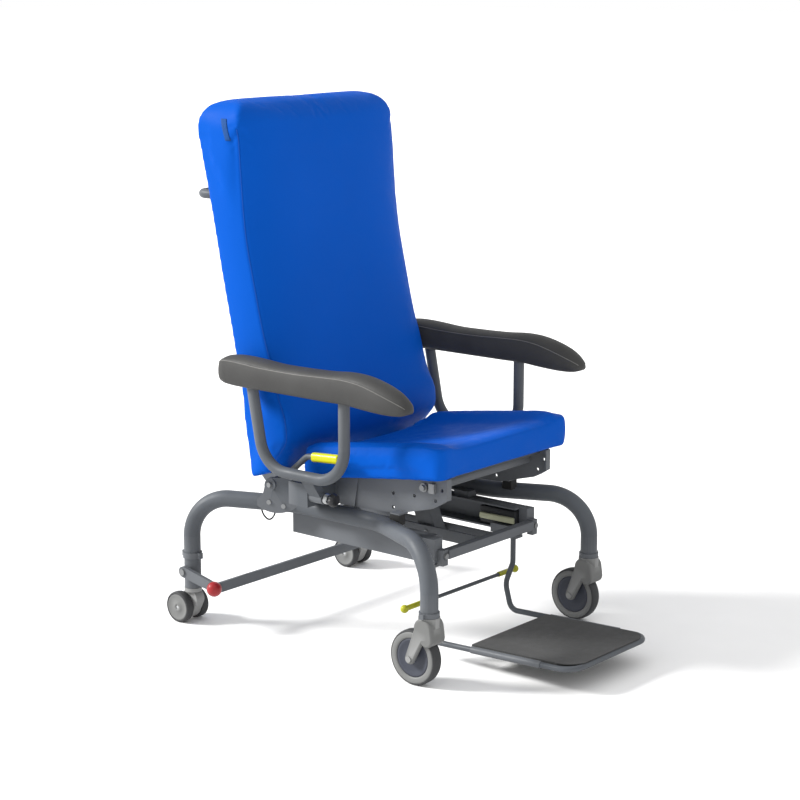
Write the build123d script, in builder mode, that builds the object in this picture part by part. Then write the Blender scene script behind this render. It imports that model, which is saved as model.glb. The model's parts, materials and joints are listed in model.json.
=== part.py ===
"""Patient recliner chair on castors: tilting seat, reclining back, swing-away arms, sliding footrest.

Millimetres.  +Z is up, -Y is the way the sitter faces, +X is the sitter's left hand.
The origin is on the floor under the middle of the chair's outline.
"""
import math
import os

from build123d import *

# ---------------------------------------------------------------- driving dimensions
# undercarriage
track_half = 300.0            # castor line from the middle plane
front_leg_y = -252.0
rear_leg_y = 473.0
tube_d = 40.0
tube_wall = 2.5
tube_top_z = 309.0            # centreline height of the two side tubes
waist_x = 200.0               # side tubes are pulled in to this at mid length
waist_front_y = -28.0
waist_rear_y = 225.0
front_leg_z = 161.0
rear_leg_z = 85.0
leg_bend = 98.0
waist_bend = 190.0

# rails under the side tubes, open towards the middle
rail_in_x = 143.0
rail_out_x = 185.0
rail_z0 = 235.0
rail_z1 = 292.0
rail_wall = 4.0
rail_front_y = -150.0
rail_rear_y = 240.0
end_block_len = 24.0
cross_bar = 20.0

# front castors, 125 mm wheels
front_wheel_d = 125.0
front_wheel_w = 30.0
front_trail = 37.0
# rear castors, 75 mm twin wheels
rear_wheel_d = 75.0
rear_wheel_w = 22.0
rear_wheel_x = 25.0
rear_trail = 20.0

# hinge line of seat and back
hinge_y = 268.0
hinge_z = 358.0
pin_d = 12.0
running = 0.05                # radial running clearance

# seat
seat_angle = 7.9
seat_front_y = -232.0
seat_under_z = 443.8          # underside height at the front edge
seat_length = 420.0
seat_width = 480.0
seat_thick = 80.0
plate_in_x = 186.0
plate_t = 6.0

# back
back_width = 524.0
back_corner = 90.0

# arms
arm_x = 318.0
arm_tube_d = 26.0
arm_pivot_x = 280.0
arm_pivot_z = 380.0

# footrest
foot_tube_d = 13.0
foot_x = 150.0
foot_slope = 2.2
foot_rear_y = -246.0
foot_front_y = -524.0

# strut under the seat
strut_foot = (-20.0, 250.0)
strut_head = (38.0, 376.0)

# castor brake bar
brake_y = 476.0
brake_z = 127.0
brake_ball_y = 370.0
brake_ball_z = 106.0
brake_x = 326.0
brake_ball_d = 36.0

sides = (("left", 1), ("right", -1))
os.makedirs("parts", exist_ok=True)


# ---------------------------------------------------------------- helpers
def write(part, label):
    """Label a finished piece and write its STEP file."""
    part.label = label
    export_step(part, f"parts/{label}.step")


def bent_bar(points, radii, outer_d, wall=0.0):
    """A round bar, or a tube when a wall is given, along straight runs joined by arcs."""
    with BuildPart() as bar:
        with BuildLine() as route:
            FilletPolyline(*points, radius=radii)
        start = Plane(origin=route.line @ 0, z_dir=route.line % 0)
        with BuildSketch(start):
            Circle(outer_d / 2)
            if wall:
                Circle(outer_d / 2 - wall, mode=Mode.SUBTRACT)
        sweep()
    return bar.part


def yz(x):
    """Sketch plane across the chair at x, drawn in (y, z) and extruded towards +X."""
    return Plane(origin=(x, 0, 0), x_dir=(0, 1, 0), z_dir=(1, 0, 0))


def side_pair(part):
    """The piece and its mirror image on the other side of the chair."""
    return part + mirror(part, Plane.YZ)


def on_side(part, sign):
    """A piece drawn for the sitter's left, placed on either side."""
    return part if sign > 0 else mirror(part, Plane.YZ)


def x_cylinder(y, z, diameter, x0, x1):
    """A cylinder along X from x0 to x1."""
    with BuildPart() as rod:
        with BuildSketch(yz(x0)):
            with Locations((y, z)):
                Circle(diameter / 2)
        extrude(amount=x1 - x0)
    return rod.part


def block(x0, x1, y0, y1, z0, z1):
    """A rectangular block between two corners."""
    with BuildPart() as box:
        with BuildSketch(Plane.XY.offset(z0)):
            with Locations(((x0 + x1) / 2, (y0 + y1) / 2)):
                Rectangle(x1 - x0, y1 - y0)
        extrude(amount=z1 - z0)
    return box.part


# ---------------------------------------------------------------- undercarriage
tube_route = [
    (track_half, front_leg_y, front_leg_z),
    (track_half, front_leg_y, tube_top_z),
    (waist_x, waist_front_y, tube_top_z),
    (waist_x, waist_rear_y, tube_top_z),
    (track_half, rear_leg_y, tube_top_z),
    (track_half, rear_leg_y, rear_leg_z),
]
tube_radii = [leg_bend, waist_bend, waist_bend, leg_bend]
tube_envelope = bent_bar(tube_route, tube_radii, tube_d)

for side, sign in sides:
    with BuildPart() as side_tube:
        add(on_side(bent_bar(tube_route, tube_radii, tube_d, tube_wall), sign))
    write(side_tube.part, f"side_tube_{side}")

# C-shaped rails with an end block in each end
with BuildPart() as one_rail:
    with BuildSketch(Plane.XZ.offset(-rail_rear_y)):
        with Locations(((rail_in_x + rail_out_x) / 2, (rail_z0 + rail_z1) / 2)):
            Rectangle(rail_out_x - rail_in_x, rail_z1 - rail_z0)
        with Locations(((rail_in_x + rail_out_x) / 2 - rail_wall, (rail_z0 + rail_z1) / 2)):
            Rectangle(rail_out_x - rail_in_x, rail_z1 - rail_z0 - 2 * rail_wall, mode=Mode.SUBTRACT)
    extrude(amount=rail_rear_y - rail_front_y)
with BuildPart() as side_rails:
    add(side_pair(one_rail.part))
write(side_rails.part, "side_rails")

# welded blocks: solid ends with a lug in front, caps behind, saddles under the tubes,
# and on the right tube a clip for the release cable
bolt_z = 254.0
bar_end_x = rail_in_x + 15
clip_x = 196.0
block_front_y = rail_front_y - end_block_len
with BuildPart() as one_side_blocks:
    add(block(rail_in_x + 15, rail_out_x + 1, block_front_y, rail_front_y, rail_z0 + 3, rail_z1))
    add(block(bar_end_x, bar_end_x + 18, block_front_y - 16, block_front_y, bolt_z - 22, bolt_z + 14))
    add(block(rail_in_x, rail_out_x, rail_rear_y, rail_rear_y + 13, rail_z0, rail_z1))
    with BuildSketch(Plane.XY.offset(rail_z1)):
        for saddle_y in (20.0, 196.0):
            with Locations(((rail_in_x + rail_out_x) / 2 + 6, saddle_y)):
                Rectangle(rail_out_x - rail_in_x - 12, 44)
    extrude(amount=tube_top_z - rail_z1 - 3)
    add(tube_envelope, mode=Mode.SUBTRACT)
with BuildPart() as clip_left:
    add(block(clip_x - 8, clip_x + 20, 288, 303.8, 312.4, 332))
    add(tube_envelope, mode=Mode.SUBTRACT)
with BuildPart() as frame_blocks:
    add(side_pair(one_side_blocks.part))
    add(mirror(clip_left.part.solids().sort_by(SortBy.VOLUME)[-1], Plane.YZ))
write(frame_blocks.part, "frame_blocks")

# cross bars between the rails, front and rear
with BuildPart() as cross_bars:
    add(block(-bar_end_x, bar_end_x, -194, -194 + cross_bar, 246, 246 + cross_bar))
    add(block(-rail_in_x, rail_in_x, 241, 253, 238, 268))
write(cross_bars.part, "cross_bars")

# centre spine: two flat bars that hold the foot of the seat strut between them
spine_x = 21.0
with BuildPart() as centre_spine:
    for sign in (1, -1):
        with BuildSketch(yz(sign * spine_x if sign > 0 else -spine_x - 6)):
            with Locations((33.5, 252)):
                Rectangle(415, 26)
            with Locations(strut_foot):
                Circle(10 / 2, mode=Mode.SUBTRACT)
        extrude(amount=6)
write(centre_spine.part, "centre_spine")

# collars on the legs: a band with two lugs at the rear, a band with one lug at the front
with BuildPart() as one_side_collars:
    for leg_y, low, high, lug_ys in (
        (rear_leg_y, 158, 172, (-1, 1)),
        (front_leg_y, front_leg_z, front_leg_z + 11, ()),
    ):
        with BuildSketch(Plane.XY.offset(low)):
            with Locations((track_half, leg_y)):
                Circle(tube_d / 2 + 3)
                Circle(tube_d / 2, mode=Mode.SUBTRACT)
            for lug in lug_ys:
                with Locations((track_half, leg_y + lug * (tube_d / 2 + 5))):
                    Rectangle(12, 8)
            if not lug_ys:
                with Locations((track_half + tube_d / 2 + 5, leg_y)):
                    Rectangle(8, 12)
        extrude(amount=high - low)
with BuildPart() as leg_collars:
    add(side_pair(one_side_collars.part))
write(leg_collars.part, "leg_collars")

# stems: a plug inside each leg, with the kingpin the castor turns on
kingpin_d = 12.0
with BuildPart() as one_side_stems:
    for leg_y, leg_z, drop in ((front_leg_y, front_leg_z, 24.0), (rear_leg_y, rear_leg_z, 20.0)):
        with BuildSketch(Plane.XY.offset(leg_z)):
            with Locations((track_half, leg_y)):
                Circle(tube_d / 2 - tube_wall)
        extrude(amount=34)
        with BuildSketch(Plane.XY.offset(leg_z)):
            with Locations((track_half, leg_y)):
                Circle(kingpin_d / 2)
        extrude(amount=-drop)
with BuildPart() as castor_stems:
    add(side_pair(one_side_stems.part))
write(castor_stems.part, "castor_stems")

# hinge brackets: a rounded plate hugging the outer side of each tube, and the hinge hub
flare = math.degrees(math.atan2(track_half - waist_x, rear_leg_y - waist_rear_y))
flare_dir = (math.sin(math.radians(flare)), math.cos(math.radians(flare)), 0)
flare_out = (math.cos(math.radians(flare)), -math.sin(math.radians(flare)), 0)
bracket_y = 262.0
bracket_x = waist_x + (bracket_y - waist_rear_y) * math.tan(math.radians(flare))
bracket_origin = (
    bracket_x + flare_out[0] * (tube_d / 2 + 0.2),
    bracket_y + flare_out[1] * (tube_d / 2 + 0.2),
    0,
)
bracket_plane = Plane(origin=bracket_origin, x_dir=flare_dir, z_dir=flare_out)
bracket_bolts = ((20.0, 316.0), (-16.0, 309.0))
with BuildPart() as one_bracket:
    with BuildSketch(bracket_plane):
        with BuildLine():
            Polyline((-56, 378), (-60, 322), (-52, 312))
            ThreePointArc((-52, 312), (0, 291), (50, 306))
            Polyline((50, 306), (50, 320), (35, 336), (31, 352))
            ThreePointArc((31, 352), (26, 369), (13, 375.5))
            Line((13, 375.5), (-56, 378))
        make_face()
        with Locations(*bracket_bolts):
            Circle(4.2, mode=Mode.SUBTRACT)
    extrude(amount=6)
    with BuildSketch(yz(197)):
        with Locations((hinge_y, hinge_z)):
            Circle(15)
    extrude(amount=47)
    with BuildSketch(yz(190)):
        with Locations((hinge_y, hinge_z)):
            Circle(pin_d / 2)
    extrude(amount=70, mode=Mode.SUBTRACT)
with BuildPart() as hinge_brackets:
    add(side_pair(one_bracket.part))
write(hinge_brackets.part, "hinge_brackets")

# rubber stops on the side tubes that the seat comes down on
with BuildPart() as one_stop:
    add(block(196, 218, -98, -72, 318, 341))
    add(tube_envelope, mode=Mode.SUBTRACT)
with BuildPart() as seat_stops:
    add(side_pair(one_stop.part))
write(seat_stops.part, "seat_stops")

# bolts and pins of the undercarriage
with BuildPart() as one_side_pins:
    with BuildSketch(bracket_plane.offset(6)):
        with Locations(*bracket_bolts):
            Circle(5.5)
    extrude(amount=2.5)
    with BuildSketch(bracket_plane.offset(6)):
        with Locations(*bracket_bolts):
            Circle(4.2)
    extrude(amount=-4)
    with BuildSketch(Plane.XZ.offset(-(rail_front_y - end_block_len - 16))):
        with Locations((bar_end_x + 9, bolt_z)):
            RegularPolygon(7, 6)
    extrude(amount=5)
    add(x_cylinder(hinge_y, hinge_z, pin_d, 176.2, 251))
    add(x_cylinder(brake_y, brake_z, 9, track_half + tube_d / 2, brake_x + 5))
    add(x_cylinder(brake_y, brake_z, 16, brake_x + 5, brake_x + 9))
with BuildPart() as base_pins:
    add(side_pair(one_side_pins.part))
    add(x_cylinder(strut_foot[0], strut_foot[1], 10, -30, 30))
write(base_pins.part, "base_pins")

# release cable: a loop that hangs behind the clip and comes back up into it
cable_d = 4.0
cable_route = [
    (-clip_x, 304, 325),
    (-clip_x, 322, 323),
    (-clip_x - 1, 338, 308),
    (-clip_x - 2, 344, 286),
    (-clip_x - 2, 338, 265),
    (-clip_x - 1, 320, 253),
    (-clip_x, 304, 264),
    (-clip_x, 296, 287),
    (-clip_x, 295, 312),
]


def cord_radii(points):
    """The largest arc that fits each corner of a cord's route."""
    radii = []
    for before, corner, after in zip(points, points[1:], points[2:]):
        run_in = Vector(*corner) - Vector(*before)
        run_out = Vector(*after) - Vector(*corner)
        turn = math.radians(run_in.get_angle(run_out))
        radii.append(0.45 * min(run_in.length, run_out.length) / math.tan(turn / 2))
    return radii


cable_bends = cord_radii(cable_route)
print("cable bend radii", [round(r, 1) for r in cable_bends])
with BuildPart() as release_cable:
    add(bent_bar(cable_route, cable_bends, cable_d))
write(release_cable.part, "release_cable")
with BuildLine() as cable_line:
    FilletPolyline(*cable_route, radius=cable_bends)
cable_length = sum(edge.length for edge in cable_line.line.edges())
cable_volume = math.pi * cable_d**2 / 4 * cable_length
print("cable length", round(cable_length, 1), "volume ratio", round(release_cable.part.volume / cable_volume, 4))

# ---------------------------------------------------------------- front castors
front_axle_y = front_leg_y + front_trail
front_axle_z = front_wheel_d / 2
front_axle_d = 8.0
fork_half = 25.0
fork_round = 5.0
for side, sign in sides:
    fork_x = sign * track_half
    with BuildPart() as front_fork:
        with BuildSketch(yz(fork_x - fork_half)):
            with Locations((front_leg_y + 1, 136)):
                Circle(24)
            with Locations((front_leg_y - 9, 114)):
                Circle(17)
            make_hull()
        extrude(amount=2 * fork_half)
        with BuildSketch(yz(fork_x - fork_half)):
            with Locations((front_leg_y + 8, 128)):
                Circle(17)
            with Locations((front_axle_y, front_axle_z)):
                Circle(12.5)
            make_hull()
        extrude(amount=2 * fork_half)
        fillet(front_fork.edges().filter_by(Plane.YZ).group_by(Axis.X)[0], fork_round)
        fillet(front_fork.edges().filter_by(Plane.YZ).group_by(Axis.X)[-1], fork_round)
        with BuildSketch(yz(fork_x - front_wheel_w / 2 - 2.5)):
            with Locations((front_axle_y, front_axle_z)):
                Circle(front_wheel_d / 2 + 4)
        extrude(amount=front_wheel_w + 5, mode=Mode.SUBTRACT)
        with BuildSketch(yz(fork_x - fork_half - 1)):
            with Locations((front_axle_y, front_axle_z)):
                Circle(front_axle_d / 2)
        extrude(amount=2 * fork_half + 2, mode=Mode.SUBTRACT)
        with BuildSketch(Plane.XY.offset(front_leg_z - 0.5)):
            with Locations((fork_x, front_leg_y)):
                Circle(24)
        extrude(amount=-22)
        with BuildSketch(Plane.XY.offset(front_leg_z)):
            with Locations((fork_x, front_leg_y)):
                Circle(kingpin_d / 2 + running)
        extrude(amount=-25, mode=Mode.SUBTRACT)
    write(front_fork.part, f"front_fork_{side}")

    with BuildPart() as front_axle:
        add(x_cylinder(front_axle_y, front_axle_z, front_axle_d, fork_x - fork_half, fork_x + fork_half))
        add(x_cylinder(front_axle_y, front_axle_z, 14, fork_x + fork_half, fork_x + fork_half + 3))
        add(x_cylinder(front_axle_y, front_axle_z, 14, fork_x - fork_half - 3, fork_x - fork_half))
    write(front_axle.part, f"front_axle_{side}")

    hub_r = front_wheel_d / 2 - 13
    wheel_plane = Plane(
        origin=(fork_x, front_axle_y, front_axle_z), x_dir=(1, 0, 0), z_dir=(0, -1, 0)
    )
    with BuildPart() as front_hub:
        with BuildSketch(wheel_plane):
            with BuildLine():
                Polyline(
                    (-front_wheel_w / 2 - 1.5, front_axle_d / 2 + running),
                    (front_wheel_w / 2 + 1.5, front_axle_d / 2 + running),
                    (front_wheel_w / 2 + 1.5, 14),
                    (front_wheel_w / 2 - 6, 20),
                    (front_wheel_w / 2 - 6, hub_r - 8),
                    (front_wheel_w / 2 - 2, hub_r - 5),
                    (front_wheel_w / 2 - 2, hub_r),
                    (-front_wheel_w / 2 + 2, hub_r),
                    (-front_wheel_w / 2 + 2, hub_r - 5),
                    (-front_wheel_w / 2 + 6, hub_r - 8),
                    (-front_wheel_w / 2 + 6, 20),
                    (-front_wheel_w / 2 - 1.5, 14),
                    close=True,
                )
            make_face()
        revolve(axis=Axis((fork_x, front_axle_y, front_axle_z), (1, 0, 0)))
    write(front_hub.part, f"front_hub_{side}")

    with BuildPart() as front_tyre:
        with BuildSketch(wheel_plane):
            with BuildLine():
                Polyline(
                    (-front_wheel_w / 2 + 5, front_wheel_d / 2 - 1.5),
                    (-front_wheel_w / 2, front_wheel_d / 2 - 7),
                    (-front_wheel_w / 2 + 2, hub_r),
                    (front_wheel_w / 2 - 2, hub_r),
                    (front_wheel_w / 2, front_wheel_d / 2 - 7),
                    (front_wheel_w / 2 - 5, front_wheel_d / 2 - 1.5),
                )
                ThreePointArc(
                    (front_wheel_w / 2 - 5, front_wheel_d / 2 - 1.5),
                    (0, front_wheel_d / 2),
                    (-front_wheel_w / 2 + 5, front_wheel_d / 2 - 1.5),
                )
            make_face()
        revolve(axis=Axis((fork_x, front_axle_y, front_axle_z), (1, 0, 0)))
    write(front_tyre.part, f"front_tyre_{side}")

# ---------------------------------------------------------------- rear castors
rear_axle_y = rear_leg_y + rear_trail
rear_axle_z = rear_wheel_d / 2
hood_half = 13.0
for side, sign in sides:
    hood_x = sign * track_half
    with BuildPart() as rear_hood:
        with BuildSketch(yz(hood_x - hood_half)):
            with Locations((rear_axle_y, rear_axle_z)):
                Circle(32)
            with Locations((rear_leg_y - 3, 58)):
                Circle(21)
            make_hull()
        extrude(amount=2 * hood_half)
        with BuildSketch(Plane.XY.offset(rear_leg_z - 0.5)):
            with Locations((hood_x, rear_leg_y)):
                Circle(21)
        extrude(amount=-9)
        with BuildSketch(Plane.XY.offset(rear_leg_z - 0.5)):
            with Locations((hood_x, rear_leg_y)):
                Circle(hood_half)
        extrude(amount=-34)
        with BuildSketch(Plane.XY.offset(rear_leg_z)):
            with Locations((hood_x, rear_leg_y)):
                Circle(kingpin_d / 2 + running)
        extrude(amount=-21, mode=Mode.SUBTRACT)
        with BuildSketch(yz(hood_x - hood_half)):
            with Locations((rear_axle_y, rear_axle_z)):
                Circle(4)
        extrude(amount=2 * hood_half, mode=Mode.SUBTRACT)
    write(rear_hood.part, f"rear_hood_{side}")

    with BuildPart() as rear_wheels:
        for wheel in (1, -1):
            inner_x = hood_x + wheel * (rear_wheel_x - rear_wheel_w / 2)
            outer_x = hood_x + wheel * (rear_wheel_x + rear_wheel_w / 2)
            low_x, high_x = sorted((inner_x, outer_x))
            with BuildSketch(yz(low_x)):
                with Locations((rear_axle_y, rear_axle_z)):
                    Circle(rear_wheel_d / 2)
                    Circle(rear_wheel_d / 2 - 7, mode=Mode.SUBTRACT)
            extrude(amount=high_x - low_x)
            with BuildSketch(yz(low_x)):
                with Locations((rear_axle_y, rear_axle_z)):
                    Circle(rear_wheel_d / 2 - 7.1)
                    Circle(4, mode=Mode.SUBTRACT)
            extrude(amount=high_x - low_x)
    write(rear_wheels.part, f"rear_wheels_{side}")

    with BuildPart() as rear_axle:
        half = rear_wheel_x + rear_wheel_w / 2 - 2
        add(x_cylinder(rear_axle_y, rear_axle_z, 8 - 2 * running, hood_x - half, hood_x + half))
    write(rear_axle.part, f"rear_axle_{side}")

# ---------------------------------------------------------------- castor brake bar
with BuildPart() as one_brake_arm:
    with BuildSketch(yz(brake_x - 5)):
        with Locations((brake_y, brake_z)):
            Circle(13)
        with Locations((brake_ball_y, brake_ball_z)):
            Circle(11)
        make_hull()
        with Locations((brake_y, brake_z)):
            Circle(9 / 2 + running, mode=Mode.SUBTRACT)
    extrude(amount=10)
with BuildPart() as brake_bar:
    add(side_pair(one_brake_arm.part))
    add(block(-brake_x + 5, brake_x - 5, brake_ball_y - 4, brake_ball_y + 4, brake_ball_z - 12, brake_ball_z + 12))
write(brake_bar.part, "brake_bar")

with BuildPart() as one_brake_knob:
    with Locations((brake_x + 6, brake_ball_y, brake_ball_z)):
        Sphere(brake_ball_d / 2)
    add(brake_bar.part, mode=Mode.SUBTRACT)
with BuildPart() as brake_knobs:
    add(side_pair(one_brake_knob.part))
write(brake_knobs.part, "brake_knobs")

# ---------------------------------------------------------------- seat
seat_plane = Plane(
    origin=(0, seat_front_y, seat_under_z),
    x_dir=(1, 0, 0),
    z_dir=(0, math.sin(math.radians(seat_angle)), math.cos(math.radians(seat_angle))),
)


def seat_z(y, above=0.0):
    """Height at y of a plane parallel to the seat, above its underside."""
    fall = (y - seat_front_y) * math.tan(math.radians(seat_angle))
    return seat_under_z - fall + above / math.cos(math.radians(seat_angle))


plate_front_y = seat_front_y + 23
accessory_holes = ((-199.0, 410.0), (-181.0, 384.0), (-121.0, 386.0), (-60.0, 382.0), (-60.0, 350.0))
with BuildPart() as one_seat_plate:
    with BuildSketch(yz(plate_in_x)):
        with BuildLine():
            Polyline(
                (plate_front_y, seat_z(plate_front_y, -0.4)),
                (plate_front_y, 386),
                (-190, 374),
                (-171, 364),
                (-73, 337),
                (45, 331.5),
                (160, 340),
                (hinge_y - 10, hinge_z - 13),
            )
            ThreePointArc(
                (hinge_y - 10, hinge_z - 13), (hinge_y + 16, hinge_z), (hinge_y - 10, hinge_z + 13)
            )
            Polyline(
                (hinge_y - 10, hinge_z + 13),
                (200, seat_z(200, -3)),
                (plate_front_y, seat_z(plate_front_y, -0.4)),
            )
        make_face()
        with Locations(*accessory_holes):
            Circle(4.25, mode=Mode.SUBTRACT)
        with Locations((hinge_y, hinge_z)):
            Circle(pin_d / 2 + running, mode=Mode.SUBTRACT)
    extrude(amount=plate_t)
    add(block(plate_in_x - 10, plate_in_x + plate_t, plate_front_y - 4, plate_front_y, 388, 436))
    add(block(plate_in_x + plate_t, 217, -98, -72, 341.3, 345))
    add(block(plate_in_x, plate_in_x + plate_t, -98, -72, 341.3, 360))
for side, sign in sides:
    with BuildPart() as seat_plate:
        add(on_side(one_seat_plate.part, sign))
    write(seat_plate.part, f"seat_plate_{side}")

# two cross tubes between the plates, the clevis for the strut and the eye bracket of the gas spring
cross_tube_d = 25.0
front_tube = (-150.0, seat_z(-150.0, -12.3 - cross_tube_d / 2 - 0.3))
rear_tube = (78.0, seat_z(78.0, -12.3 - cross_tube_d / 2 - 0.3))
gas_eye = (52.0, 322.0)
gas_x = 66.0
with BuildPart() as seat_frame:
    for tube_y, tube_z in (front_tube, rear_tube):
        add(x_cylinder(tube_y, tube_z, cross_tube_d, -plate_in_x, plate_in_x))
    for clevis_x in (-22.0, 17.0):
        with BuildSketch(yz(clevis_x)):
            with Locations(strut_head):
                Circle(10)
            with Locations(rear_tube):
                Circle(11)
            make_hull()
            with Locations(strut_head):
                Circle(5 + running, mode=Mode.SUBTRACT)
        extrude(amount=5)
    with BuildSketch(yz(gas_x - 3)):
        with Locations(gas_eye):
            Circle(11)
        with Locations(rear_tube):
            Circle(11)
        make_hull()
    extrude(amount=6)
write(seat_frame.part, "seat_frame")

with BuildPart() as seat_board:
    with BuildSketch(seat_plane):
        with Locations((0, 219.5)):
            RectangleRounded(2 * plate_in_x - 1, 359, 12)
    extrude(amount=-12)
write(seat_board.part, "seat_board")

# the cushion is a plain closed form: side view with soft corners, cut back behind for the back cushion
with BuildPart() as seat_cushion:
    with BuildSketch(yz(-seat_width / 2)):
        with BuildLine() as seat_side:
            FilletPolyline(
                (seat_front_y, seat_z(seat_front_y, 0.4)),
                (seat_front_y, seat_z(seat_front_y, seat_thick)),
                (184, seat_z(184, seat_thick)),
                (206, seat_z(206, 0.4)),
                close=True,
                radius=12,
            )
        make_face()
    extrude(amount=seat_width)
    fillet(seat_cushion.edges().filter_by(Axis.Z, tolerance=6).group_by(Axis.Y)[0], 22)
write(seat_cushion.part, "seat_cushion")

# heads on the side plates, and the pin through the head of the strut
with BuildPart() as one_latch:
    add(x_cylinder(-150, 410, 20, plate_in_x + plate_t, plate_in_x + plate_t + 5))
    add(x_cylinder(-150, 410, 13, plate_in_x + plate_t, plate_in_x + plate_t + 11))
    add(block(plate_in_x + plate_t, plate_in_x + plate_t + 9, -183, -168, 401, 423))
with BuildPart() as seat_fasteners:
    add(side_pair(one_latch.part))
    add(x_cylinder(strut_head[0], strut_head[1], 10, -26, 26))
write(seat_fasteners.part, "seat_fasteners")

# strut: an outer box pinned between the spine bars and an inner box that telescopes out of it
strut_dy = strut_head[0] - strut_foot[0]
strut_dz = strut_head[1] - strut_foot[1]
strut_len = math.hypot(strut_dy, strut_dz)
strut_dir = (0, strut_dy / strut_len, strut_dz / strut_len)
strut_base = Plane(origin=(0, strut_foot[0], strut_foot[1]), x_dir=(1, 0, 0), z_dir=strut_dir)
with BuildPart() as strut_outer:
    with BuildSketch(strut_base.offset(-14)):
        RectangleRounded(38, 48, 4)
    extrude(amount=14 + 82)
    with BuildSketch(strut_base.offset(20)):
        Rectangle(30.4, 40.4)
    extrude(amount=90, mode=Mode.SUBTRACT)
    with BuildSketch(yz(-30)):
        with Locations(strut_foot):
            Circle(5 + running)
    extrude(amount=60, mode=Mode.SUBTRACT)
write(strut_outer.part, "strut_outer")
with BuildPart() as strut_inner:
    with BuildSketch(strut_base.offset(26)):
        Rectangle(30, 40)
    extrude(amount=strut_len - 26 - 15)
    with BuildSketch(yz(-12)):
        with Locations(strut_head):
            Circle(10)
        with Locations((strut_head[0] - strut_dir[1] * 24, strut_head[1] - strut_dir[2] * 24)):
            Circle(12)
        make_hull()
        with Locations(strut_head):
            Circle(6.5, mode=Mode.SUBTRACT)
    extrude(amount=24)
write(strut_inner.part, "strut_inner")
# ---------------------------------------------------------------- back
rear_low = (314.0, 365.0)
rear_mid = (336.0, 574.0)
rear_top = (466.0, 1174.0)
back_slope = (rear_top[0] - rear_mid[0]) / (rear_top[1] - rear_mid[1])


def back_rear_y(z):
    """Where the rear face of the back cushion stands at height z."""
    if z < rear_mid[1]:
        return rear_low[0] + (z - rear_low[1]) * (rear_mid[0] - rear_low[0]) / (rear_mid[1] - rear_low[1])
    return rear_mid[0] + (z - rear_mid[1]) * back_slope


with BuildPart() as back_cushion:
    with BuildSketch(yz(-back_width / 2)):
        with BuildLine():
            Line((298, 366), (250, 386))
            Spline((250, 386), (196, 462), (224, 560), (262, 690), (298, 850), (318, 980), (330, 1110), (352, 1222))
            Spline((352, 1222), (380, 1240), (430, 1236), (462, 1208), rear_top, tangents=((0.3, 1), (-0.2, -1)))
            Line(rear_top, rear_mid)
            Line(rear_mid, (317, 392))
            ThreePointArc((317, 392), (312, 373), (298, 366))
        make_face()
    extrude(amount=back_width)
    # the outline seen from in front: straight sides and large top corners
    with BuildSketch(Plane.XZ):
        with BuildLine():
            Polyline((-back_width / 2, 1240 - back_corner), (-back_width / 2, 330), (back_width / 2, 330))
            Line((back_width / 2, 330), (back_width / 2, 1240 - back_corner))
            CenterArc((back_width / 2 - back_corner, 1240 - back_corner), back_corner, 0, 90)
            Line((back_width / 2 - back_corner, 1240), (-back_width / 2 + back_corner, 1240))
            CenterArc((-back_width / 2 + back_corner, 1240 - back_corner), back_corner, 90, 90)
        make_face()
    extrude(amount=-700, mode=Mode.INTERSECT)
write(back_cushion.part, "back_cushion")

# moulded board behind the cushion
board_gap = 0.4
board_t = 10.0
board_z0 = 420.0
board_z1 = 1150.0
with BuildPart() as back_board:
    with BuildSketch(yz(-205)):
        with BuildLine():
            Polyline(
                (back_rear_y(board_z0) + board_gap, board_z0),
                (rear_mid[0] + board_gap, rear_mid[1]),
                (back_rear_y(board_z1) + board_gap, board_z1),
                (back_rear_y(board_z1) + board_gap + board_t, board_z1),
                (rear_mid[0] + board_gap + board_t, rear_mid[1]),
                (back_rear_y(board_z0) + board_gap + board_t, board_z0),
                close=True,
            )
        make_face()
    extrude(amount=410)
write(back_board.part, "back_board")

# frame: one bent tube behind the board, arms down to the hinge, and a torque bar with the gas spring lever
back_tube_d = 25.0
back_tube_x = 168.0
upright_off = board_gap + board_t + back_tube_d / 2 + 0.3
gas_lever = (282.0, 322.0)
back_route = [
    (back_tube_x, back_rear_y(430) + upright_off, 430),
    (back_tube_x, rear_mid[0] + upright_off, rear_mid[1]),
    (back_tube_x, back_rear_y(1090) + upright_off, 1090),
    (-back_tube_x, back_rear_y(1090) + upright_off, 1090),
    (-back_tube_x, rear_mid[0] + upright_off, rear_mid[1]),
    (-back_tube_x, back_rear_y(430) + upright_off, 430),
]
with BuildPart() as one_back_arm:
    with BuildSketch(yz(176)):
        with BuildLine():
            Polyline((hinge_y, hinge_z - 14), (344, hinge_z - 14), (366, hinge_z + 8), (366, 500), (344, 500))
            Polyline((344, 500), (338, hinge_z + 6), (hinge_y + 18, hinge_z + 6), (hinge_y, hinge_z + 14))
            ThreePointArc(
                (hinge_y, hinge_z + 14), (hinge_y - 14, hinge_z), (hinge_y, hinge_z - 14)
            )
        make_face()
        with Locations((hinge_y, hinge_z)):
            Circle(pin_d / 2 + running, mode=Mode.SUBTRACT)
    extrude(amount=6)
with BuildPart() as back_frame:
    add(bent_bar(back_route, [120, 60, 60, 120], back_tube_d, 2.0))
    add(side_pair(one_back_arm.part))
    add(x_cylinder(hinge_y, hinge_z, 20, -176, 176))
    for lever_x in (gas_x - 6, gas_x + 16):
        with BuildSketch(yz(lever_x)):
            with Locations((hinge_y, hinge_z)):
                Circle(12)
            with Locations(gas_lever):
                Circle(9)
            make_hull()
        extrude(amount=6)
    add(x_cylinder(gas_lever[0], gas_lever[1], 8, gas_x - 6, gas_x + 22))
write(back_frame.part, "back_frame")

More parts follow.
